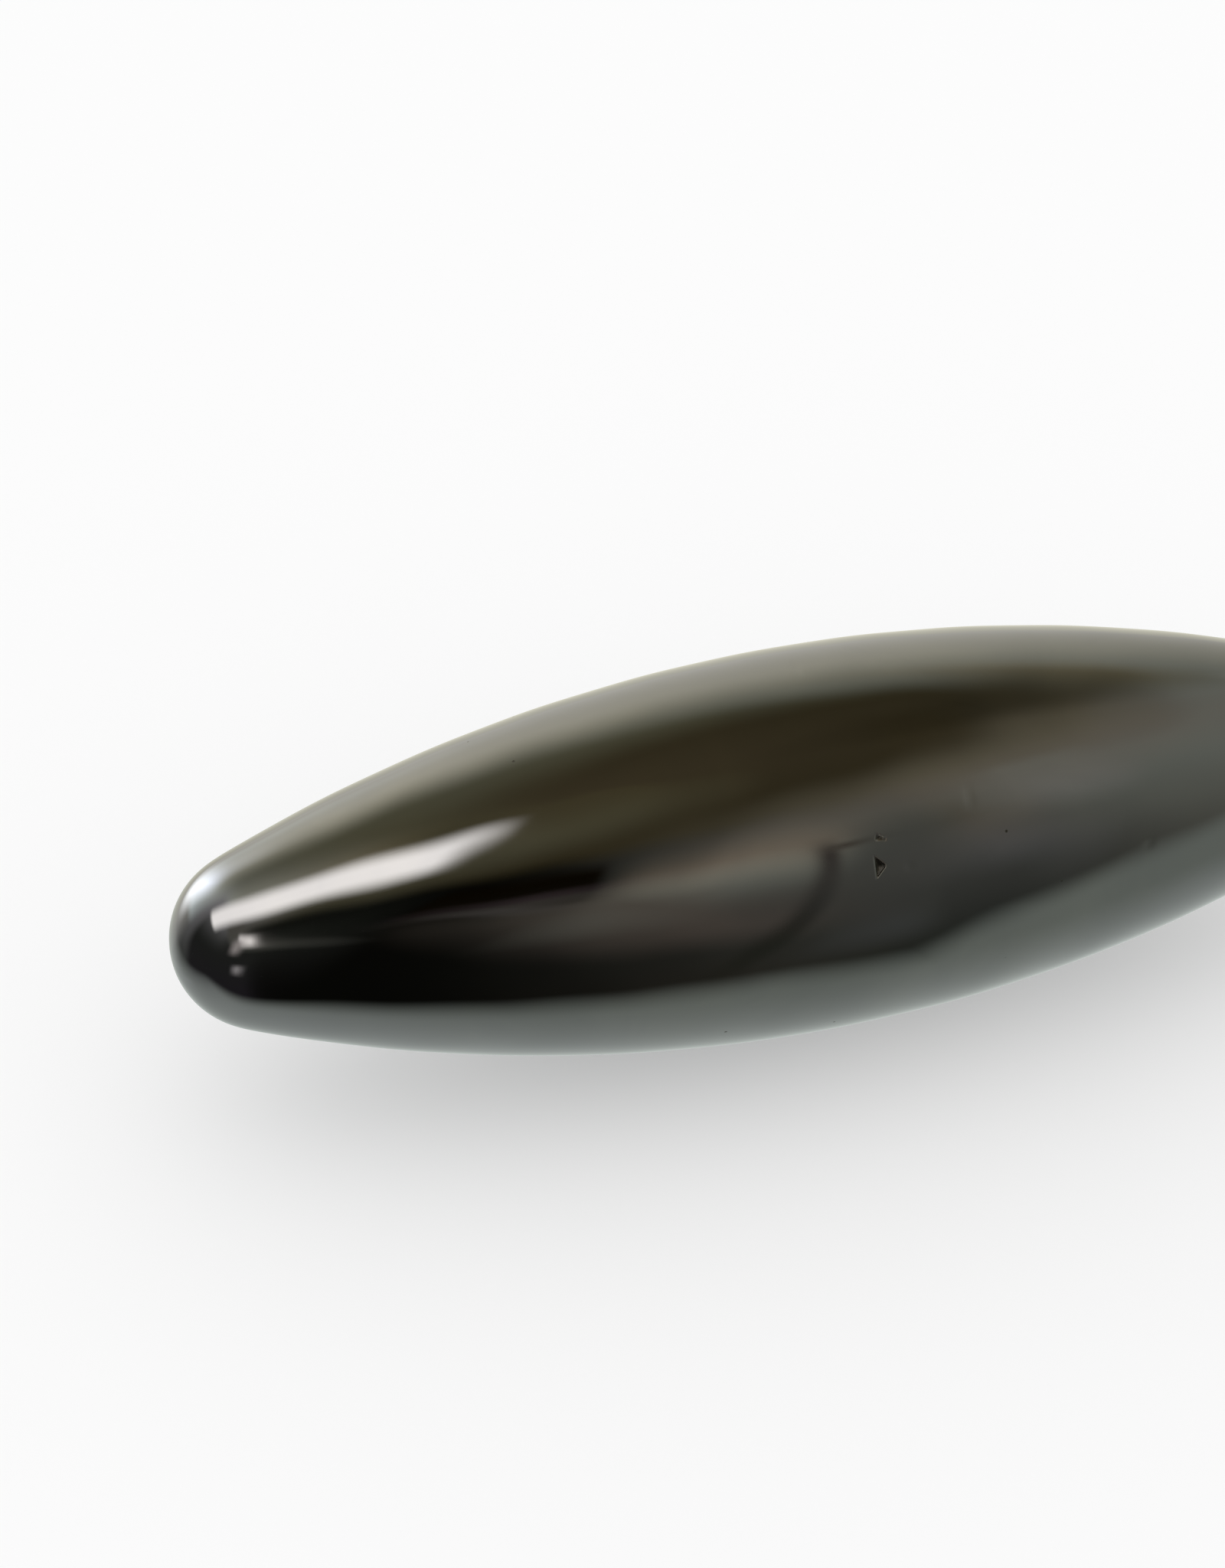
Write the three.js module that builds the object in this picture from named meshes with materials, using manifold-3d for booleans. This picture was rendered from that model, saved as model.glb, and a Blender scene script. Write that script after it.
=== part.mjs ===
// A polished stone of magnetic hematite, shaped like an olive: a spindle with rounded ends that lies on
// its side. Millimetres, +Z up. The long axis lies along X, and the origin is in the middle of the flat
// that the stone rests on. The outline is one long flank arc that runs smoothly into a small nose arc at
// each end. Turned about the long axis it gives the whole stone. The underside is then ground flat, and
// two small chips are taken out of the polished surface.
import * as THREE from "three";
import { mergeVertices } from "three/addons/utils/BufferGeometryUtils.js";
import Module from "manifold-3d";

// Driving dimensions of the stone
const stoneLength = 60;
const stoneDiameter = 17.8;
const noseRadius = 4.1;
const flatDepth = 0.15; // how far the rest flat is ground into the round underside

// The chips. along is measured from the middle of the stone, and around is the angle above the
// horizontal on the -Y side. A chip is a shallow pit with a sharp rim and three sides.
const chips = [
  { along: 0.3, around: 25.5, length: 0.55, width: 1.1, depth: 0.16, turn: 0 },
  { along: 0.5, around: 33.5, length: 0.6, width: 0.26, depth: 0.08, turn: -18 },
];

// Fineness of the facets
const flankSteps = 40;
const noseSteps = 9;
const roundSegments = 72;

// Sizes worked out from the driving dimensions
const halfLength = stoneLength / 2;
const radius = stoneDiameter / 2;
const noseCentre = halfLength - noseRadius; // along the axis, from the middle of the stone
// The flank arc's centre is on the far side of the axis, and the arc touches the nose arc from outside.
const flankRadius =
  (noseCentre ** 2 + radius ** 2 - noseRadius ** 2) / (2 * (radius - noseRadius));
const flankCentre = radius - flankRadius;
const meetAngle = Math.asin(noseCentre / (flankRadius - noseRadius)); // where flank and nose touch
const axisHeight = radius - flatDepth;

const wasm = await Module();
wasm.setup();

// Makes a solid of a closed geometry, once its shared vertices are merged.
function solidOf(geometry) {
  geometry.deleteAttribute("normal");
  geometry.deleteAttribute("uv");
  const merged = mergeVertices(geometry, 1e-4);
  return new wasm.Manifold(
    new wasm.Mesh({
      numProp: 3,
      vertProperties: merged.attributes.position.array,
      triVerts: new Uint32Array(merged.index.array),
    }),
  );
}

// Turns a solid back into a geometry with its own face normals.
function geometryOf(solid) {
  const mesh = solid.getMesh();
  const geometry = new THREE.BufferGeometry();
  geometry.setAttribute("position", new THREE.BufferAttribute(mesh.vertProperties, 3));
  geometry.setIndex(new THREE.BufferAttribute(mesh.triVerts, 1));
  geometry.computeVertexNormals();
  return geometry;
}

// One arc of the outline as points of (distance from the axis, place along the axis).
// The angle is measured from the direction that points straight out from the axis.
function arcPoints(centreOut, centreAlong, arcRadius, fromAngle, toAngle, steps) {
  const points = [];
  for (let i = 0; i <= steps; i++) {
    const angle = fromAngle + ((toAngle - fromAngle) * i) / steps;
    points.push(
      new THREE.Vector2(
        centreOut + arcRadius * Math.cos(angle),
        centreAlong + arcRadius * Math.sin(angle),
      ),
    );
  }
  return points;
}

// The whole outline, from the tip of one nose over the flank to the tip of the other nose.
function stoneOutline() {
  const quarter = Math.PI / 2;
  const lowNose = arcPoints(0, -noseCentre, noseRadius, -quarter, -meetAngle, noseSteps);
  const flank = arcPoints(flankCentre, 0, flankRadius, -meetAngle, meetAngle, flankSteps);
  const highNose = arcPoints(0, noseCentre, noseRadius, meetAngle, quarter, noseSteps);
  const outline = [...lowNose, ...flank.slice(1), ...highNose.slice(1)];
  outline[0].x = 0; // both tips lie exactly on the axis
  outline[outline.length - 1].x = 0;
  return outline;
}

// The turned spindle with its axis along X, at the height that leaves the ground flat at z = 0.
function spindle() {
  const geometry = new THREE.LatheGeometry(stoneOutline(), roundSegments);
  geometry.rotateZ(-Math.PI / 2);
  geometry.translate(0, 0, axisHeight);
  return solidOf(geometry);
}

// A block whose top face is the plane of the rest flat.
function groundBlock() {
  const height = radius;
  const geometry = new THREE.BoxGeometry(stoneLength, stoneDiameter, height);
  geometry.translate(0, 0, -height / 2);
  return solidOf(geometry);
}

// The stone's radius at a place along its flank.
function flankRadiusAt(along) {
  return flankCentre + Math.sqrt(flankRadius ** 2 - along ** 2);
}

// A three-sided point that reaches into the surface by the chip's depth. It starts as a cone of unit
// height over an equal-sided triangle, which is 1.5 long from its straight side to its far corner.
function chipTool({ along, around, length, width, depth, turn }) {
  const standOff = 2; // how many times the depth the cone's base stands off the surface
  const spread = 1 + standOff; // the base is larger than the pit's mouth by this much
  const geometry = new THREE.ConeGeometry(1, 1, 3);
  geometry.rotateX(-Math.PI / 2); // the tip looks along -Z
  geometry.rotateZ(-Math.PI / 2); // the straight side is at -X, its far corner at +X
  geometry.translate(0, 0, 0.5); // the tip is at z = 0
  geometry.scale((spread * length) / 1.5, (spread * width) / Math.sqrt(3), spread * depth);
  geometry.rotateZ(THREE.MathUtils.degToRad(turn));
  geometry.translate(0, 0, flankRadiusAt(along) - depth);
  // From straight up to its angle round the axis, then along the stone.
  geometry.rotateX(THREE.MathUtils.degToRad(90 - around));
  geometry.translate(along, 0, axisHeight);
  return solidOf(geometry);
}

// The finished stone: the spindle, ground flat below, with its chips taken out.
function hematiteStone() {
  let solid = spindle().subtract(groundBlock());
  for (const chip of chips) solid = solid.subtract(chipTool(chip));
  const material = new THREE.MeshStandardMaterial({
    color: 0x3a3c3e, // dark steel grey
    roughness: 0.08,
    metalness: 1,
    flatShading: true,
  });
  const mesh = new THREE.Mesh(geometryOf(solid), material);
  mesh.name = "hematite_stone";
  return mesh;
}

const stone = new THREE.Group();
stone.add(hematiteStone());

export default stone;
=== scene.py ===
import math

import bpy
import numpy as np
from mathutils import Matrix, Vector


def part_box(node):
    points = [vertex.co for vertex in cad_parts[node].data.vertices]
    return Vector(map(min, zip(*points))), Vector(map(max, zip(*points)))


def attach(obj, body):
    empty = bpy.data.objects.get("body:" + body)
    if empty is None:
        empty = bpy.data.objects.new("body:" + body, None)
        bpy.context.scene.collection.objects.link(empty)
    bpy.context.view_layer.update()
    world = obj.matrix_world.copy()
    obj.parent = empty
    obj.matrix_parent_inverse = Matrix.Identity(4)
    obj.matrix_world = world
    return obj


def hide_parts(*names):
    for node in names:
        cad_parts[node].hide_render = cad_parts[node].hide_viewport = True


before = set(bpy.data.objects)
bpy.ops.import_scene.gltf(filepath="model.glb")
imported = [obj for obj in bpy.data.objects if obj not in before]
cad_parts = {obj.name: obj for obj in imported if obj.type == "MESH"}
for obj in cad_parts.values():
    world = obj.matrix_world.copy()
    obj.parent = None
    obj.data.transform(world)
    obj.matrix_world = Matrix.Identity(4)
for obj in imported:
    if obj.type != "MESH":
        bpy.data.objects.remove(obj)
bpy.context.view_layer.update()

mm = 0.001
print("frame loaded")


# Short helpers for node trees

def addNode(tree, kind, column=0, row=0, **settings):
    node = tree.nodes.new(kind)
    node.location = (column * 200, row * 200)
    for name, value in settings.items():
        setattr(node, name, value)
    return node


def plug(tree, source, target):
    # source is a socket or a plain value
    if isinstance(source, bpy.types.NodeSocket):
        tree.links.new(source, target)
    else:
        target.default_value = source


def maths(tree, operation, *sources, column=0, row=0):
    node = addNode(tree, "ShaderNodeMath", column, row, operation=operation)
    for source, target in zip(sources, node.inputs):
        plug(tree, source, target)
    return node.outputs[0]


def smoothRise(tree, value, low, high, column=0, row=0):
    # 0 below low, 1 above high, an S curve between them
    node = addNode(tree, "ShaderNodeMapRange", column, row, interpolation_type="SMOOTHSTEP")
    plug(tree, value, node.inputs["Value"])
    plug(tree, low, node.inputs["From Min"])
    plug(tree, high, node.inputs["From Max"])
    return node.outputs["Result"]


def mixColour(tree, factor, first, second, column=0, row=0):
    node = addNode(tree, "ShaderNodeMix", column, row, data_type="RGBA")
    plug(tree, factor, node.inputs[0])
    plug(tree, first, node.inputs[6])  # the colour sockets of a Mix node
    plug(tree, second, node.inputs[7])
    return node.outputs[2]


def newGroup(name, inputs, outputs):
    # inputs and outputs are (name, kind of socket) pairs
    group = bpy.data.node_groups.new(name, "ShaderNodeTree")
    for label, kind in inputs:
        group.interface.new_socket(label, in_out="INPUT", socket_type="NodeSocket" + kind)
    for label, kind in outputs:
        group.interface.new_socket(label, in_out="OUTPUT", socket_type="NodeSocket" + kind)
    entry = addNode(group, "NodeGroupInput", -4)
    leave = addNode(group, "NodeGroupOutput", 6)
    return group, entry.outputs, leave.inputs


def placeGroup(tree, group, values, column=0, row=0):
    node = addNode(tree, "ShaderNodeGroup", column, row, node_tree=group)
    for label, value in values.items():
        plug(tree, value, node.inputs[label])
    return node.outputs


def rgba(colour):
    return (*colour, 1.0)


# The stone's shape

stoneShape = {
    "noseRadius": 4.1 * mm,
    "curveChange": 2.2 * mm,   # length over which the nose curve becomes the flank curve
    "outlineSteps": 6000,
    "linesAlong": 380,
    "linesAround": 256,
    "fineAlong": 0.3 * mm,     # the mesh is finest round this place, where the chips are
    "fineAround": 28.5,
    "fineLength": 1.6 * mm,    # how far the fine lines reach along the stone
    "fineTurn": 0.2,           # and how far round it, in radians
    "flatBlend": 0.02 * mm,    # roundness of the rest flat's rim
    "chipRim": 0.25,           # share of a chip's depth that its rim takes up
    "waveHeight": 0.008 * mm,  # unevenness left by the polishing
    "waveLength": 7 * mm,
    "waveCount": 10,
    "waveFade": 1 / 3,         # nearer to the axis than this share of the radius the waves fade out
    "waveSeed": 4,
}

# Sharp-rimmed chips, in millimetres and degrees. along is measured from the middle, around is the angle
# above the horizontal on the -Y side, and turn turns the chip's length away from the long axis.
chips = [
    {"along": 0.30, "around": 25.5, "length": 0.55, "width": 1.10, "depth": 0.16, "turn": 0},
    {"along": 0.50, "around": 33.5, "length": 0.60, "width": 0.26, "depth": 0.08, "turn": -18},
]

# Faint soft dents, measured in the same way
dents = [
    {"along": 5.03, "around": 40.7, "length": 0.30, "width": 0.90, "depth": 0.006},
    {"along": -0.48, "around": 96.3, "length": 0.36, "width": 1.00, "depth": 0.010},
    {"along": 1.72, "around": 24.0, "length": 0.40, "width": 0.40, "depth": 0.006},
    {"along": 13.69, "around": 13.5, "length": 0.45, "width": 0.45, "depth": 0.008},
]


def stoneOutline(length, radius, shape):
    # Half of the outline, from the tip to the middle. The curvature is 1/noseRadius, then changes with an
    # S curve to the flank's own. Its running sum is the direction, whose running cosine and sine sums are
    # the place along and the distance out, stretched in the end to the exact length and radius.
    nose = shape["noseRadius"]
    noseCentre = length / 2 - nose
    flank = (noseCentre**2 + radius**2 - nose**2) / (2 * (radius - nose))
    meetAngle = math.asin(noseCentre / (flank - nose))
    meet = nose * (math.pi / 2 - meetAngle)
    travel = np.linspace(0, meet + flank * meetAngle, shape["outlineSteps"])
    blend = np.clip((travel - meet) / shape["curveChange"] + 0.5, 0, 1)
    curve = 1 / nose + (1 / flank - 1 / nose) * blend**2 * (3 - 2 * blend)
    step = travel[1]

    def runningSum(values):
        return np.concatenate([[0], np.cumsum((values[1:] + values[:-1]) / 2 * step)])

    turned = runningSum(curve)
    direction = math.pi / 2 * (1 - turned / turned[-1])
    along = runningSum(np.cos(direction))
    out = runningSum(np.sin(direction))
    along = along / along[-1] * length / 2 - length / 2
    out = out / out[-1] * radius
    # The other half is the mirror image.
    travel = np.concatenate([travel, 2 * travel[-1] - travel[-2::-1]])
    along = np.concatenate([along, -along[-2::-1]])
    out = np.concatenate([out, out[-2::-1]])
    direction = np.concatenate([direction, -direction[-2::-1]])
    return travel, along, out, direction


def spacedLines(start, end, count, centre, spread, gain):
    # count values from start to end, gain times closer together round the centre: equal steps of the
    # running sum of a density, which is 1 plus a bell curve
    places = np.linspace(start, end, 20000)
    density = 1 + (gain - 1) * np.exp(-(((places - centre) / spread) ** 2))
    total = np.concatenate([[0], np.cumsum((density[1:] + density[:-1]) / 2)])
    return np.interp(np.linspace(0, total[-1], count), total, places)


def markPlane(mark, along, angle, out):
    # A mark's own flat coordinates: along the stone and up its side, turned by the mark's turn
    sideways = along - mark["along"] * mm
    upwards = out * (angle - math.radians(mark["around"]))
    turn = math.radians(mark.get("turn", 0))
    across = math.cos(turn) * sideways + math.sin(turn) * upwards
    up = -math.sin(turn) * sideways + math.cos(turn) * upwards
    return across / (mark["length"] * mm), up / (mark["width"] * mm)


def chipPit(chip, along, angle, out):
    # 0 outside the chip's triangle, rising from its three sides to 1 in the middle: the least of the three
    # distances from the sides, in units of the distance from the middle to a side. The triangle's corners
    # are 1 from its middle, so it is 1.5 long, sqrt(3) wide, and each side is 0.5 from the middle.
    across, up = markPlane(chip, along, angle, out)
    across = across * 1.5
    up = up * math.sqrt(3)
    sides = [0.5 + across]
    for sign in (-1, 1):
        sides.append(0.5 - across / 2 + sign * up * math.sqrt(3) / 2)
    return np.clip(np.minimum.reduce(sides) / 0.5, 0, 1)


def dentBowl(dent, along, angle, out):
    # A round-bottomed bowl, the bell curve of the distance from its middle, down to 1/e at its edge
    across, up = markPlane(dent, along, angle, out)
    return np.exp(-4 * (across**2 + up**2))


def polishWaves(along, angle, shape):
    # The sum of slow waves, each a sine along the stone times a sine round it
    random = np.random.default_rng(shape["waveSeed"])
    total = np.zeros_like(along)
    for _ in range(shape["waveCount"]):
        pace = 2 * math.pi / shape["waveLength"] * random.uniform(0.6, 1.4)  # each has its own length
        turns = random.integers(2, 9)  # whole waves round the stone, so that they meet
        first, second = random.uniform(0, 2 * math.pi, 2)
        total += np.sin(pace * along + first) * np.sin(turns * angle + second)
    return total * shape["waveHeight"] / math.sqrt(shape["waveCount"])


def makeStone(shape):
    low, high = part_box("hematite_stone")
    length = high[0] - low[0]
    radius = (high[1] - low[1]) / 2
    axisHeight = high[2] - radius
    travel, along, out, direction = stoneOutline(length, radius, shape)
    middle = travel[-1] / 2
    lines = spacedLines(0, travel[-1], shape["linesAlong"],
                        middle + shape["fineAlong"], shape["fineLength"], gain=5)[1:-1]
    bottom = -math.pi / 2
    rounds = spacedLines(bottom, bottom + 2 * math.pi, shape["linesAround"] + 1,
                         math.radians(shape["fineAround"]), shape["fineTurn"], gain=4)[:-1]

    # A point is the outline turned by the angle. Then it is moved along the normal by waves and pits.
    angle, place = np.meshgrid(rounds, lines)
    x = np.interp(place, travel, along)
    r = np.interp(place, travel, out)
    slope = np.interp(place, travel, direction)
    lift = polishWaves(x, angle, shape) * np.clip(r / radius / shape["waveFade"], 0, 1)
    inside = np.zeros_like(x)
    for chip in chips:
        pit = chipPit(chip, x, angle, r)
        lift -= pit * chip["depth"] * mm
        inside = np.maximum(inside, np.clip(pit / shape["chipRim"], 0, 1))
    for dent in dents:
        lift -= dentBowl(dent, x, angle, r) * dent["depth"] * mm
    x = x - np.sin(slope) * lift
    r = r + np.cos(slope) * lift
    y = -r * np.cos(angle)
    z = axisHeight + r * np.sin(angle)
    z = (z + np.sqrt(z**2 + shape["flatBlend"] ** 2)) / 2  # nothing is lower than the rest flat

    rows, columns = x.shape
    points = np.stack([x, y, z], axis=-1).reshape(-1, 3)
    tips = [(-length / 2, 0, axisHeight), (length / 2, 0, axisHeight)]
    points = np.concatenate([points, tips])
    ring = np.arange(columns)
    following = (ring + 1) % columns
    first = (np.arange(rows - 1) * columns)[:, None]
    quads = np.stack([first + ring, first + columns + ring,
                      first + columns + following, first + following], axis=-1).reshape(-1, 4)
    lowTip = np.full(columns, rows * columns)
    lastRow = (rows - 1) * columns
    lowFan = np.stack([lowTip, ring, following], axis=-1)
    highFan = np.stack([lowTip + 1, lastRow + following, lastRow + ring], axis=-1)

    mesh = bpy.data.meshes.new("hematiteStone")
    mesh.from_pydata(points.tolist(), [], quads.tolist() + lowFan.tolist() + highFan.tolist())
    mesh.polygons.foreach_set("use_smooth", np.ones(len(mesh.polygons), dtype=bool))
    mask = mesh.attributes.new("chipMask", "FLOAT", "POINT")
    mask.data.foreach_set("value", np.concatenate([inside.reshape(-1), [0, 0]]).astype(np.float32))
    mesh.update()
    stone = bpy.data.objects.new("hematiteStone", mesh)
    bpy.context.scene.collection.objects.link(stone)
    return stone


stone = makeStone(stoneShape)
print("stone made,", len(stone.data.vertices), "points,", len(stone.data.polygons), "faces")


# The stone's finish

stoneFinish = {
    "steelGrey": (0.232, 0.232, 0.236),
    "paleGrey": (0.255, 0.254, 0.254),
    "chipGrey": (0.085, 0.08, 0.07),
    "roughness": 0.035,
    "hazeRoughness": 0.03,     # added where the polish is cloudy
    "chipRoughness": 0.45,
    "cloudSize": 6 * mm,
    "cloudLow": 0.35,          # no cloud where the noise is below this
    "cloudHigh": 0.75,         # full cloud where it is above this
    "scratchWidth": 0.06 * mm,
    "scratchDepth": 0.00015 * mm,
    # how many times longer than wide the two sets of scratches are, and how each is turned (radians)
    "scratchSets": ((60.0, (0.0, 0.2, 0.1)), (40.0, (0.5, 0.9, 0.7))),
    "poreSpacing": 1.3 * mm,
    "poreSize": 0.035,         # share of the spacing
    "poreShare": 0.12,         # share of the places that have a pore
}


def cloudGroup():
    # Soft cloudy patches: noise within noise, drawn out to a mask
    group, entry, leave = newGroup(
        "softClouds",
        [("Vector", "Vector"), ("Size", "Float"), ("Low", "Float"), ("High", "Float")],
        [("Mask", "Float")])
    scale = maths(group, "DIVIDE", 1.0, entry["Size"], column=-3, row=-1)
    noise = addNode(group, "ShaderNodeTexNoise", -2, 0)
    plug(group, entry["Vector"], noise.inputs["Vector"])
    plug(group, scale, noise.inputs["Scale"])
    plug(group, 4.0, noise.inputs["Detail"])
    plug(group, 0.5, noise.inputs["Roughness"])
    plug(group, 0.6, noise.inputs["Distortion"])
    mask = smoothRise(group, noise.outputs[0], entry["Low"], entry["High"], 2, 0)
    plug(group, mask, leave["Mask"])
    return group


def scratchGroup():
    # Fine polishing lines: noise squeezed hard across one direction, so that it shows as long thin lines
    group, entry, leave = newGroup(
        "polishLines",
        [("Vector", "Vector"), ("Width", "Float"), ("Stretch", "Float"), ("Turn", "Vector")],
        [("Height", "Float")])
    turned = addNode(group, "ShaderNodeVectorRotate", -3, 1, rotation_type="EULER_XYZ")
    plug(group, entry["Vector"], turned.inputs["Vector"])
    plug(group, entry["Turn"], turned.inputs["Rotation"])
    across = maths(group, "DIVIDE", 1.0, entry["Width"], column=-3, row=-1)
    along = maths(group, "DIVIDE", across, entry["Stretch"], column=-2, row=-2)
    sizes = addNode(group, "ShaderNodeCombineXYZ", -1, -1)
    plug(group, along, sizes.inputs["X"])
    plug(group, across, sizes.inputs["Y"])
    plug(group, across, sizes.inputs["Z"])
    squeezed = addNode(group, "ShaderNodeVectorMath", 0, 0, operation="MULTIPLY")
    plug(group, turned.outputs[0], squeezed.inputs[0])
    plug(group, sizes.outputs[0], squeezed.inputs[1])
    noise = addNode(group, "ShaderNodeTexNoise", 1, 0)
    plug(group, squeezed.outputs[0], noise.inputs["Vector"])
    plug(group, 1.0, noise.inputs["Scale"])
    plug(group, 1.0, noise.inputs["Detail"])
    lineStart, lineFull = 0.62, 0.78  # only the noise's high ridges are lines
    line = smoothRise(group, noise.outputs[0], lineStart, lineFull, 3, 0)
    plug(group, line, leave["Height"])
    return group


def poreGroup():
    # Sparse pinprick pores: the middle of a few of the cells of a Voronoi pattern
    group, entry, leave = newGroup(
        "pinPores",
        [("Vector", "Vector"), ("Spacing", "Float"), ("Size", "Float"), ("Share", "Float")],
        [("Mask", "Float")])
    scale = maths(group, "DIVIDE", 1.0, entry["Spacing"], column=-3, row=-1)
    cells = addNode(group, "ShaderNodeTexVoronoi", -1, 0, feature="F1")
    plug(group, entry["Vector"], cells.inputs["Vector"])
    plug(group, scale, cells.inputs["Scale"])
    edge = maths(group, "MULTIPLY", entry["Size"], 2.0, column=-1, row=-2)
    outside = smoothRise(group, cells.outputs["Distance"], entry["Size"], edge, 1, 0)
    inside = maths(group, "SUBTRACT", 1.0, outside, column=2, row=0)
    tint = addNode(group, "ShaderNodeSeparateColor", 1, -1)
    plug(group, cells.outputs["Color"], tint.inputs[0])
    chosen = maths(group, "LESS_THAN", tint.outputs[0], entry["Share"], column=3, row=-1)
    mask = maths(group, "MULTIPLY", inside, chosen, column=4, row=0)
    plug(group, mask, leave["Mask"])
    return group


def polishedHematite(finish):
    material = bpy.data.materials.new("polishedHematite")
    material.use_nodes = True
    tree = material.node_tree
    shader = tree.nodes["Principled BSDF"]
    place = addNode(tree, "ShaderNodeTexCoord", -8).outputs["Object"]
    chip = addNode(tree, "ShaderNodeAttribute", -8, -3, attribute_name="chipMask").outputs["Fac"]
    clouds = placeGroup(tree, cloudGroup(), {
        "Vector": place, "Size": finish["cloudSize"],
        "Low": finish["cloudLow"], "High": finish["cloudHigh"]}, -6, 1)["Mask"]
    scratches = scratchGroup()
    lineSets = []
    for row, (stretch, turn) in enumerate(finish["scratchSets"]):
        lineSets.append(placeGroup(tree, scratches, {
            "Vector": place, "Width": finish["scratchWidth"],
            "Stretch": stretch, "Turn": turn}, -6, -1 - row)["Height"])
    pores = placeGroup(tree, poreGroup(), {
        "Vector": place, "Spacing": finish["poreSpacing"], "Size": finish["poreSize"],
        "Share": finish["poreShare"]}, -6, -4)["Mask"]

    colour = mixColour(tree, clouds, rgba(finish["steelGrey"]), rgba(finish["paleGrey"]), -4, 2)
    marks = maths(tree, "MAXIMUM", chip, pores, column=-4, row=-3)
    colour = mixColour(tree, marks, colour, rgba(finish["chipGrey"]), -2, 2)
    plug(tree, colour, shader.inputs["Base Color"])
    haze = maths(tree, "MULTIPLY_ADD", clouds, finish["hazeRoughness"], finish["roughness"],
                 column=-4, row=0)
    rough = maths(tree, "MULTIPLY_ADD", marks, finish["chipRoughness"], haze, column=-2, row=0)
    plug(tree, rough, shader.inputs["Roughness"])
    allLines = maths(tree, "ADD", *lineSets, column=-4, row=-1)
    height = maths(tree, "MULTIPLY", allLines, -1.0, column=-3, row=-1)  # scratches are sunk
    bump = addNode(tree, "ShaderNodeBump", -1, -1)
    plug(tree, height, bump.inputs["Height"])
    plug(tree, finish["scratchDepth"], bump.inputs["Distance"])
    plug(tree, bump.outputs[0], shader.inputs["Normal"])
    shader.inputs["Metallic"].default_value = 1.0
    return material


stone.data.materials.append(polishedHematite(stoneFinish))
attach(stone, "root")
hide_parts("hematite_stone")
print("stone finished")


# The floor, and the pale mat that only the stone's gloss sees

floorValues = {
    "size": 6.0,
    "colour": (0.60, 0.60, 0.60),
    "roughness": 0.9,
    "glow": 0.34,              # keeps the floor pale under the stone
}

matValues = {
    "size": 1.2,
    "height": -0.05 * mm,              # just below the floor
    "farColour": (0.39, 0.43, 0.38),   # at the edge towards the camera
    "frontColour": (0.62, 0.67, 0.64),
    "backColour": (0.86, 0.84, 0.70),
    "foreStart": -14.5 * mm,           # here the far colour begins to turn into the front colour
    "foreEnd": -3.7 * mm,
    "backStart": 4 * mm,               # here the front colour begins to turn into the back colour
    "backEnd": 40 * mm,
    "fadeStart": 30 * mm,              # behind the stone the mat fades out
    "fadeEnd": 250 * mm,
    # corners of the edge towards the camera, from left to right, in millimetres
    "frontEdge": ((-45, -7.3), (-3, -16.2), (6, -14.8), (15, -21.4), (60, -42)),
    "frontSoftness": 7 * mm,
    "softnessFrom": 8.8 * mm,          # to the right of this the edge grows softer
    "softnessSlope": 0.42,
    "leftEdge": -42.8 * mm,
    "leftSoftness": 23 * mm,
}


def flatSheet(name, size, height):
    # a square of four points
    half = size / 2
    corners = [(-half, -half, height), (half, -half, height), (half, half, height), (-half, half, height)]
    mesh = bpy.data.meshes.new(name)
    mesh.from_pydata(corners, [], [(0, 1, 2, 3)])
    sheet = bpy.data.objects.new(name, mesh)
    bpy.context.scene.collection.objects.link(sheet)
    return sheet


def floorMaterial(values):
    material = bpy.data.materials.new("paleFloor")
    material.use_nodes = True
    shader = material.node_tree.nodes["Principled BSDF"]
    shader.inputs["Base Color"].default_value = rgba(values["colour"])
    shader.inputs["Roughness"].default_value = values["roughness"]
    shader.inputs["Specular IOR Level"].default_value = 0.0
    shader.inputs["Emission Color"].default_value = (1.0, 1.0, 1.0, 1.0)
    shader.inputs["Emission Strength"].default_value = values["glow"]
    material.cycles.emission_sampling = "NONE"
    return material


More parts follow.
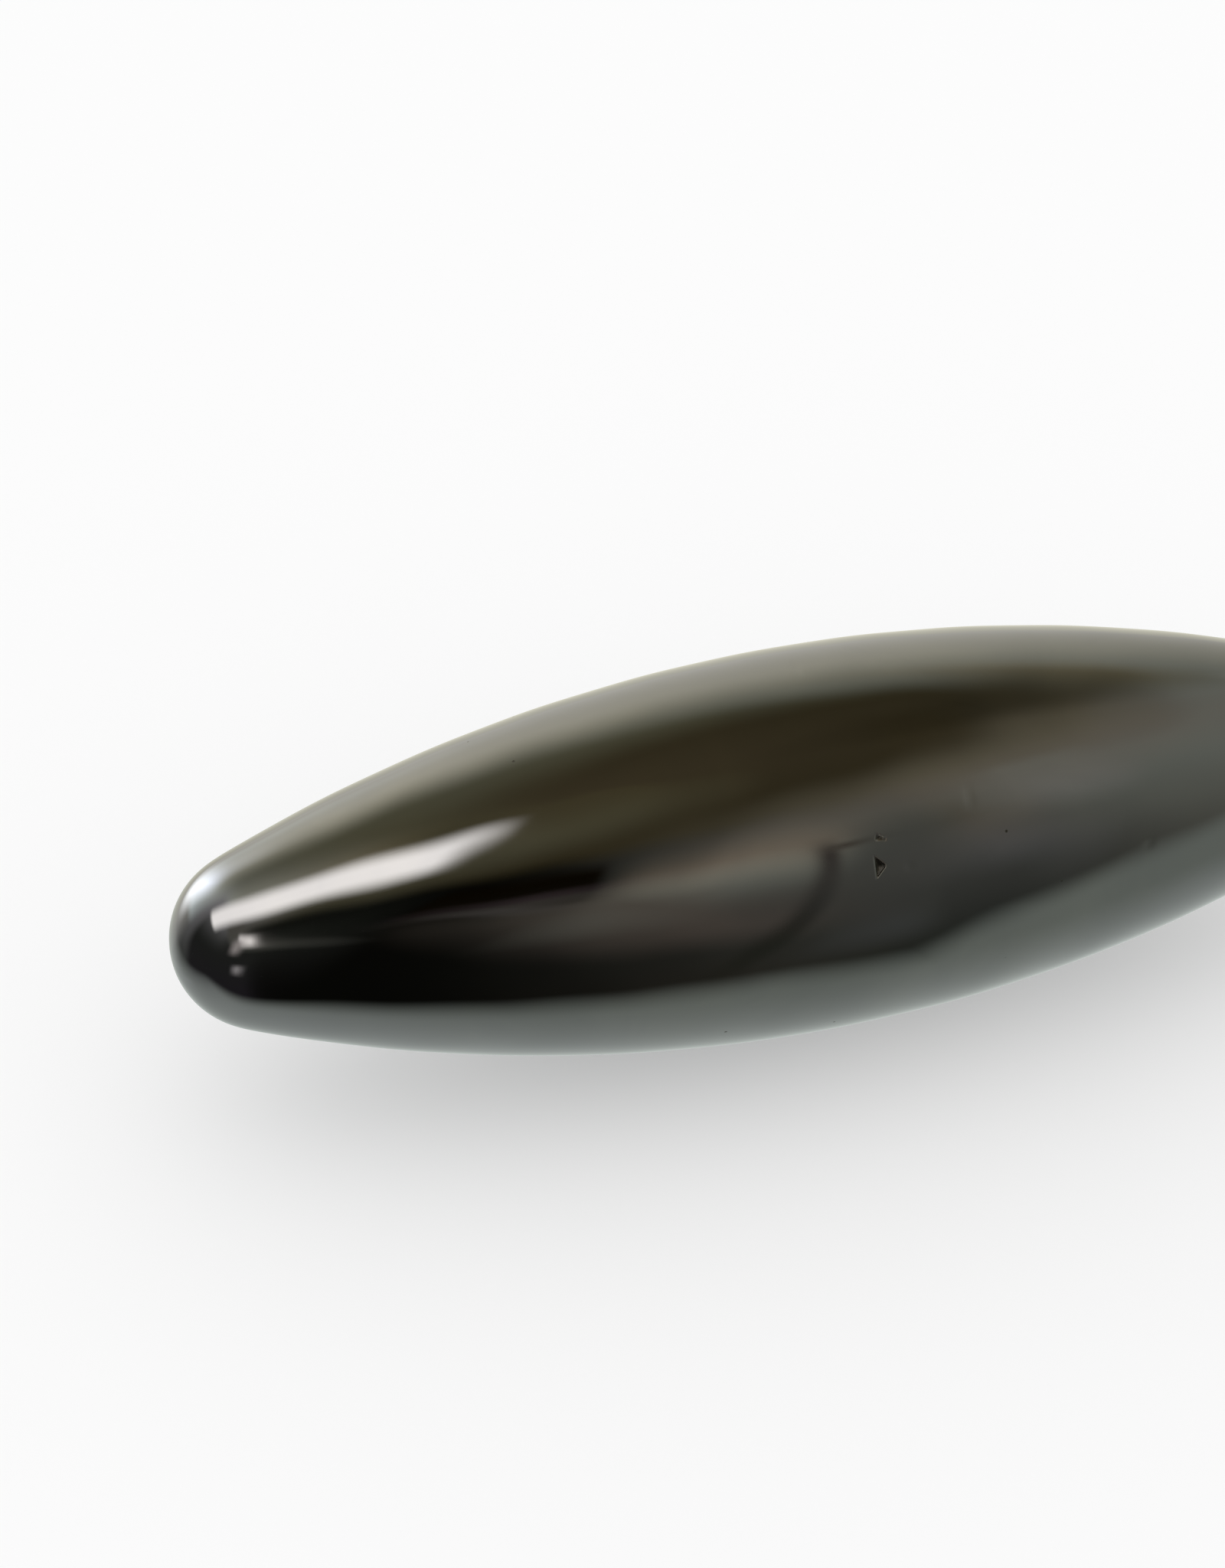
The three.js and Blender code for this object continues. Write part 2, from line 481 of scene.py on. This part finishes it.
def matMaterial(values):
    # Glows where y is past the front edge and x past the left edge, with soft edges, and is clear
    # elsewhere. The front edge runs straight from corner to corner: it is the first straight line plus,
    # at each corner, the change of slope times the distance past that corner.
    material = bpy.data.materials.new("reflectedMat")
    material.use_nodes = True
    tree = material.node_tree
    tree.nodes.clear()
    split = addNode(tree, "ShaderNodeSeparateXYZ", -10)
    plug(tree, addNode(tree, "ShaderNodeTexCoord", -11).outputs["Object"], split.inputs[0])
    x, y = split.outputs[0], split.outputs[1]
    corners = np.array(values["frontEdge"]) * mm
    slopes = (np.diff(corners[:, 1]) / np.diff(corners[:, 0])).tolist()
    startX, startY = corners[0].tolist()
    edge = maths(tree, "MULTIPLY_ADD", x, slopes[0], startY - slopes[0] * startX, column=-9, row=2)
    for cornerX, slope, nextSlope in zip(corners[1:, 0].tolist(), slopes, slopes[1:]):
        past = maths(tree, "SUBTRACT", x, cornerX, column=-9, row=1)
        past = maths(tree, "MAXIMUM", past, 0.0, column=-8, row=1)
        edge = maths(tree, "MULTIPLY_ADD", past, nextSlope - slope, edge, column=-7, row=2)
    softer = maths(tree, "SUBTRACT", x, values["softnessFrom"], column=-9, row=0)
    softer = maths(tree, "MAXIMUM", softer, 0.0, column=-8, row=0)
    soft = maths(tree, "MULTIPLY_ADD", softer, values["softnessSlope"], values["frontSoftness"],
                 column=-7, row=0)
    past = maths(tree, "SUBTRACT", y, edge, column=-6, row=2)
    front = smoothRise(tree, maths(tree, "DIVIDE", past, soft, column=-5, row=1), -0.5, 0.5, -4, 1)
    leftHalf = values["leftSoftness"] / 2
    left = smoothRise(tree, x, values["leftEdge"] - leftHalf, values["leftEdge"] + leftHalf, -4, -1)
    far = smoothRise(tree, y, values["fadeStart"], values["fadeEnd"], -5, -2)
    kept = maths(tree, "SUBTRACT", 1.0, far, column=-4, row=-2)
    mask = maths(tree, "MULTIPLY", front, left, column=-3)
    mask = maths(tree, "MULTIPLY", mask, kept, column=-2)
    near = smoothRise(tree, y, values["foreStart"], values["foreEnd"], -4, 3)
    behind = smoothRise(tree, y, values["backStart"], values["backEnd"], -4, 2)
    colour = mixColour(tree, near, rgba(values["farColour"]), rgba(values["frontColour"]), -3, 3)
    colour = mixColour(tree, behind, colour, rgba(values["backColour"]), -2, 2)
    glow = addNode(tree, "ShaderNodeEmission", -1, 1)
    plug(tree, colour, glow.inputs["Color"])
    clear = addNode(tree, "ShaderNodeBsdfTransparent", -1, -1)
    both = addNode(tree, "ShaderNodeMixShader", 0)
    plug(tree, mask, both.inputs[0])
    plug(tree, clear.outputs[0], both.inputs[1])
    plug(tree, glow.outputs[0], both.inputs[2])
    out = addNode(tree, "ShaderNodeOutputMaterial", 1)
    plug(tree, both.outputs[0], out.inputs["Surface"])
    material.cycles.emission_sampling = "NONE"
    return material


floor = flatSheet("floor", floorValues["size"], 0.0)
floor.data.materials.append(floorMaterial(floorValues))
floor.visible_glossy = False
mat = flatSheet("reflectedMat", matValues["size"], matValues["height"])
mat.data.materials.append(matMaterial(matValues))
for ray in ("camera", "diffuse", "transmission", "volume_scatter", "shadow"):
    setattr(mat, "visible_" + ray, False)  # only gloss sees the mat
print("floor laid")


# The studio that the gloss sees. Directions are an azimuth from the front (-Y), growing towards +X, and an
# elevation, in degrees.

def window(azimuth, half, low, high, soft, lowColour, highColour=None, lean=0.0):
    # half is half the width. soft is how many degrees the sides, the low edge and the high edge take to
    # fade. The colour turns from lowColour at the foot into highColour at the top, and lean is how many
    # degrees the window leans sideways for each degree upwards.
    return {"Centre": azimuth, "Half": half, "Low": low, "High": high, "Side Soft": soft[0],
            "Low Soft": soft[1], "High Soft": soft[2], "Lean": lean,
            "colours": (lowColour, highColour or lowColour)}


studio = {
    "pale": (1.0, 1.0, 1.0),       # what the camera sees past the floor
    "dome": 1.06,                  # even light on the floor
    "room": (0.008, 0.008, 0.006),  # what the gloss sees between the windows
    # Each window covers the ones before it. In the gloss the stand and its arm are the thin dark bend on
    # the flank, the three lamps are the spots near the nose, and endWindow shows from behind only.
    "windows": {
        "ceiling": window(0, 200, 49, 95, (10, 12, 10), (0.08, 0.065, 0.03), (0.14, 0.11, 0.06)),
        "leftCeiling": window(-119, 86, 14, 94, (65, 36, 57), (0.28, 0.29, 0.20), (0.16, 0.13, 0.06), 2.5),
        "rightRoom": window(90, 66, -56, 48, (90, 5, 16), (0.14, 0.12, 0.09), (0.46, 0.49, 0.42)),
        "rightTop": window(63, 44, 43, 56, (68, 34, 22), (0.42, 0.35, 0.27), (0.49, 0.44, 0.31), 0.4),
        "backBeam": window(125, 16, 36, 59, (24, 12, 48), (0.30, 0.26, 0.15), (0.016, 0.012, 0), -1.1),
        "backWall": window(189, 58, -71, 38, (88, 9, 35), (0.38, 0.44, 0.64), (1.34, 1.27, 1.00), 0.5),
        "leftCorner": window(-109, 28, 5, 73, (61, 10, 9), (2.31, 2.57, 2.52), (0.41, 0.35, 0.21), 0.7),
        "leftDark": window(-99, 34, -40, 53, (35, 3, 11), (0.004, 0.016, 0.004), (0.55, 0.53, 0.54), 0.2),
        "frontDark": window(-72, 40, -66, 31, (15, 8, 55), (0.035, 0.026, 0.04), (0.045, 0.05, 0.04), 0.1),
        "leftWindow": window(-152, 9, -6, 29, (25, 21, 28), (4.67, 4.79, 4.86), (3.98, 4.22, 4.70), 0.2),
        "rightLight": window(46, 8, 27, 48, (10, 24, 5), (0.48, 0.47, 0.42), (0.43, 0.41, 0.33), 0.6),
        "rightShade": window(28.5, 1, -25.5, 28.5, (23, 31, 58), (1.38, 1.48, 1.68), (0.23, 0.11, 0), 0.1),
        "frontPane": window(7, 9, 13, 33, (14, 39, 41), (1.11, 1.20, 1.00), (0.92, 0.74, 0.54), 0.3),
        "frontWall": window(3, 10, -15, 24, (28, 20, 20), (0.21, 0.17, 0.14), (0.23, 0.20, 0.16), -0.4),
        "stand": window(13, 1.5, -26, 30, (2.5, 55, 14), (0.02, 0.024, 0.012), (0.05, 0.022, 0.02), 0.1),
        "rightDark": window(29, 14, -61, 20, (23, 6, 60), (0.008, 0.016, 0.01), (0.18, 0.18, 0.16), -0.2),
        "standArm": window(18.5, 2, 26.5, 29.5, (7, 3.5, 3.5), (0.11, 0.09, 0.07)),
        "endWindow": window(103, 14, -4, 30, (18, 10, 16), (2.10, 2.00, 1.80), (2.60, 2.50, 2.30)),
        "paneEdge": window(-18, 3.5, 27.5, 29.5, (5, 22, 9), (0.37, 0.34, 0.32), (0.45, 0.39, 0.38), -1),
        "shelf": window(-59, 12, 19, 59, (11, 12, 8), (0.21, 0.21, 0.18), (0.22, 0.20, 0.17), -0.9),
        "highLamp": window(-44, 5, 24, 34, (5, 12, 11), (2.95, 2.78, 2.65), None, -0.5),
        "sideLamp": window(-48.5, 4, 13.5, 30, (12, 12, 12), (0.92, 0.83, 0.79), None, 0.1),
        "lowLamp": window(-43, 3.5, -10, -1, (11, 12, 8), (0.82, 0.77, 0.77), None, 0.1),
        "paneGap": window(-14, 9, 26, 43, (3, 11, 11), (0.014, 0.012, 0.008), (0.008, 0.004, 0), 0.1),
        "paneBar": window(-11, 5, 27.5, 29.5, (30, 10, 10), (0.42, 0.37, 0.33), (0.34, 0.25, 0.27), -0.1),
    },
    # A skylight that lies askew, and makes the long streak: tilt turns its long side up from the level,
    # and its sizes are halves, in units of its distance.
    "skylight": {"azimuth": -81, "elevation": 53.7, "tilt": 58.5, "half": 0.46, "halfWidth": 0.19,
                 "endSoft": 0.12, "sideSoft": 0.28, "colour": (3.17, 3.05, 2.93)},
}


def rayAngles():
    # azimuth = arctangent of x over -y, elevation = arcsine of z, both in degrees
    group, entry, leave = newGroup(
        "rayAngles", [("Direction", "Vector")], [("Azimuth", "Float"), ("Elevation", "Float")])
    split = addNode(group, "ShaderNodeSeparateXYZ", -3)
    plug(group, entry["Direction"], split.inputs[0])
    front = maths(group, "MULTIPLY", split.outputs[1], -1.0, column=-2)
    azimuth = maths(group, "ARCTAN2", split.outputs[0], front, column=-1, row=1)
    elevation = maths(group, "ARCSINE", split.outputs[2], column=-1, row=-1)
    plug(group, maths(group, "DEGREES", azimuth, row=1), leave["Azimuth"])
    plug(group, maths(group, "DEGREES", elevation, row=-1), leave["Elevation"])
    return group


def softWindow():
    # Mask is 1 inside a window between two azimuths and two elevations, with soft edges. The window leans
    # by Lean degrees of azimuth for each degree above its middle. Rise is 0 at its foot and 1 at its top.
    labels = ["Azimuth", "Elevation", "Centre", "Half", "Low", "High",
              "Side Soft", "Low Soft", "High Soft", "Lean"]
    group, entry, leave = newGroup(
        "softWindow", [(label, "Float") for label in labels], [("Mask", "Float"), ("Rise", "Float")])
    total = maths(group, "ADD", entry["Low"], entry["High"], column=-3, row=2)
    rise = maths(group, "MULTIPLY_ADD", total, -0.5, entry["Elevation"], column=-2, row=2)
    leaning = maths(group, "MULTIPLY_ADD", rise, entry["Lean"], entry["Centre"], column=-1, row=2)
    away = maths(group, "SUBTRACT", entry["Azimuth"], leaning, row=2)
    away = maths(group, "WRAP", away, 180.0, -180.0, column=1, row=2)
    away = maths(group, "ABSOLUTE", away, column=2, row=2)

    def edge(value, place, soft, row):
        # half of the softness lies on each side of the edge
        near = maths(group, "MULTIPLY_ADD", soft, -0.5, place, column=2, row=row)
        far = maths(group, "MULTIPLY_ADD", soft, 0.5, place, column=2, row=row - 1)
        return smoothRise(group, value, near, far, 3, row)

    outside = edge(away, entry["Half"], entry["Side Soft"], 2)
    above = edge(entry["Elevation"], entry["Low"], entry["Low Soft"], 0)
    over = edge(entry["Elevation"], entry["High"], entry["High Soft"], -2)
    between = maths(group, "SUBTRACT", above, over, column=4, row=-1)
    between = maths(group, "MAXIMUM", between, 0.0, column=5, row=-1)
    within = maths(group, "SUBTRACT", 1.0, outside, column=4, row=1)
    plug(group, maths(group, "MULTIPLY", within, between, column=5), leave["Mask"])
    level = addNode(group, "ShaderNodeMapRange", 3, -4)
    plug(group, entry["Elevation"], level.inputs["Value"])
    plug(group, entry["Low"], level.inputs["From Min"])
    plug(group, entry["High"], level.inputs["From Max"])
    plug(group, level.outputs["Result"], leave["Rise"])
    return group


def softPanel():
    # 1 inside a flat rectangle that faces the middle of the room. The direction, divided by its part
    # along the panel's centre line, gives the place on the panel's plane.
    group, entry, leave = newGroup(
        "softPanel",
        [("Direction", "Vector"), ("Centre", "Vector"), ("Long Side", "Vector"),
         ("Short Side", "Vector"), ("Half", "Float"), ("Half Width", "Float"),
         ("End Soft", "Float"), ("Side Soft", "Float")],
        [("Mask", "Float")])

    def part(vector, row):
        node = addNode(group, "ShaderNodeVectorMath", -2, row, operation="DOT_PRODUCT")
        plug(group, entry["Direction"], node.inputs[0])
        plug(group, entry[vector], node.inputs[1])
        return node.outputs["Value"]

    ahead = maths(group, "MAXIMUM", part("Centre", 0), 0.001, column=-1)  # keeps it off zero
    masks = []
    edges = [("Long Side", "Half", "End Soft"), ("Short Side", "Half Width", "Side Soft")]
    for row, (vector, half, soft) in enumerate(edges):
        offset = maths(group, "DIVIDE", part(vector, row + 1), ahead, row=row)
        offset = maths(group, "ABSOLUTE", offset, column=1, row=row)
        near = maths(group, "MULTIPLY_ADD", entry[soft], -0.5, entry[half], column=1, row=row - 2)
        far = maths(group, "MULTIPLY_ADD", entry[soft], 0.5, entry[half], column=2, row=row - 2)
        outside = smoothRise(group, offset, near, far, 3, row)
        masks.append(maths(group, "SUBTRACT", 1.0, outside, column=4, row=row))
    plug(group, maths(group, "MULTIPLY", *masks, column=5), leave["Mask"])
    return group


def pointing(azimuth, elevation):
    a, e = math.radians(azimuth), math.radians(elevation)
    return Vector((math.sin(a) * math.cos(e), -math.cos(a) * math.cos(e), math.sin(e)))


def makeStudio(values):
    # The camera sees plain pale air, the floor gets an even dome of light, and gloss sees the windows.
    world = bpy.data.worlds.new("studio")
    world.use_nodes = True
    bpy.context.scene.world = world
    tree = world.node_tree
    tree.nodes.clear()
    direction = addNode(tree, "ShaderNodeTexCoord", -6).outputs["Generated"]
    angles = placeGroup(tree, rayAngles(), {"Direction": direction}, -5)
    windowGroup = softWindow()
    colour = rgba(values["room"])
    for row, settings in enumerate(values["windows"].values()):
        low, high = settings["colours"]
        edges = {label: value for label, value in settings.items() if label != "colours"}
        shape = placeGroup(tree, windowGroup, {
            "Azimuth": angles["Azimuth"], "Elevation": angles["Elevation"], **edges}, row - 4, row)
        own = mixColour(tree, shape["Rise"], rgba(low), rgba(high), row - 3, row - 1)
        colour = mixColour(tree, shape["Mask"], colour, own, row - 3, row)
    sky = values["skylight"]
    centre = pointing(sky["azimuth"], sky["elevation"])
    side = pointing(sky["azimuth"] + 90, 0)
    up = centre.cross(side)
    up = up * math.copysign(1, up.z)
    turn = math.radians(sky["tilt"])
    mask = placeGroup(tree, softPanel(), {
        "Direction": direction, "Centre": centre,
        "Long Side": side * math.cos(turn) + up * math.sin(turn),
        "Short Side": up * math.cos(turn) - side * math.sin(turn),
        "Half": sky["half"], "Half Width": sky["halfWidth"],
        "End Soft": sky["endSoft"], "Side Soft": sky["sideSoft"]}, 12, -2)["Mask"]
    colour = mixColour(tree, mask, colour, rgba(sky["colour"]), 14)

    def lamp(light, column, row):
        node = addNode(tree, "ShaderNodeBackground", column, row)
        plug(tree, light, node.inputs["Color"])
        return node.outputs[0]

    def choose(ray, other, chosen, column):
        node = addNode(tree, "ShaderNodeMixShader", column)
        plug(tree, ray, node.inputs[0])
        plug(tree, other, node.inputs[1])
        plug(tree, chosen, node.inputs[2])
        return node.outputs[0]

    rays = addNode(tree, "ShaderNodeLightPath", 14, 4).outputs
    even = lamp(rgba([values["dome"]] * 3), 15, 2)
    light = choose(rays["Is Glossy Ray"], even, lamp(colour, 15, 0), 16)
    light = choose(rays["Is Camera Ray"], light, lamp(rgba(values["pale"]), 16, 2), 17)
    out = addNode(tree, "ShaderNodeOutputWorld", 18)
    plug(tree, light, out.inputs["Surface"])
    world.cycles.sampling_method = "NONE"  # the rays that meet the windows are enough


makeStudio(studio)
bpy.context.scene.view_settings.view_transform = "Standard"
print("studio lit")


# The camera, at the photograph's angle

cameraValues = {
    "aim": (-7.37 * mm, 6.76 * mm, 8.75 * mm),
    "azimuth": -17.4,      # degrees from the front, growing towards +X
    "elevation": 35.0,
    "distance": 180.6 * mm,
    "sensor": 36.0,
    "lens": 87.9,           # both in millimetres, the sensor along the image's longer side
}


def placeCamera(values):
    data = bpy.data.cameras.new("camera")
    data.lens = values["lens"]
    data.sensor_width = values["sensor"]
    data.clip_start = 1 * mm
    camera = bpy.data.objects.new("camera", data)
    bpy.context.scene.collection.objects.link(camera)
    backwards = pointing(values["azimuth"], values["elevation"])
    camera.location = Vector(values["aim"]) + backwards * values["distance"]
    camera.rotation_euler = (-backwards).to_track_quat("-Z", "Y").to_euler()
    bpy.context.scene.camera = camera


placeCamera(cameraValues)
print("camera placed")
